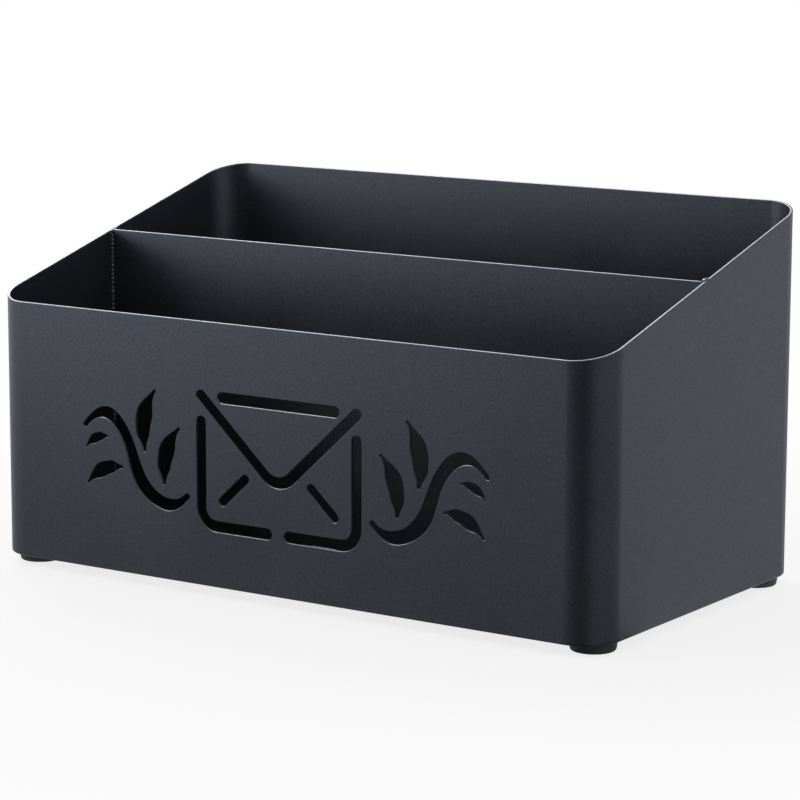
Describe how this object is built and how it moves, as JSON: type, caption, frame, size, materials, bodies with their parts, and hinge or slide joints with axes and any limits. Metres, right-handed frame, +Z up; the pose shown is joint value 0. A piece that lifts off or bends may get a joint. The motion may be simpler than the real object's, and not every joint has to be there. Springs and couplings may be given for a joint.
{
  "type": "desktop letter sorter",
  "caption": "Open-topped sheet steel letter sorter with a low front, a tall back, sloping sides, an upright divider, a cut-out envelope and leaf ornament, and rubber feet.",
  "frame": {"origin": "on the desk, under the middle of the plan", "axes": "+X along the front, to the right; +Y from the low front wall to the tall back wall; +Z up"},
  "size_m": [0.28, 0.154, 0.1492],
  "materials": {
    "powder_coated_steel": "satin black powder coat with a fine orange-peel texture",
    "coated_weld": "weld bead under the same satin black powder coat",
    "black_rubber": "matt moulded rubber",
    "adhesive_film": "thin double-sided adhesive"
  },
  "bodies": {
    "root": {"wall_band": "powder_coated_steel", "band_seam_weld": "coated_weld", "base_plate": "powder_coated_steel", "divider": "powder_coated_steel", "divider_weld_left": "coated_weld", "divider_weld_right": "coated_weld", "rim_tack_left": "coated_weld", "rim_tack_right": "coated_weld", "base_weld_front": "coated_weld", "base_weld_back": "coated_weld", "base_weld_left": "coated_weld", "base_weld_right": "coated_weld", "divider_foot_weld": "coated_weld", "rubber_foot_front_left": "black_rubber", "rubber_foot_front_right": "black_rubber", "rubber_foot_back_left": "black_rubber", "rubber_foot_back_right": "black_rubber", "foot_adhesive_front_left": "adhesive_film", "foot_adhesive_front_right": "adhesive_film", "foot_adhesive_back_left": "adhesive_film", "foot_adhesive_back_right": "adhesive_film"}
  },
  "joints": []
}
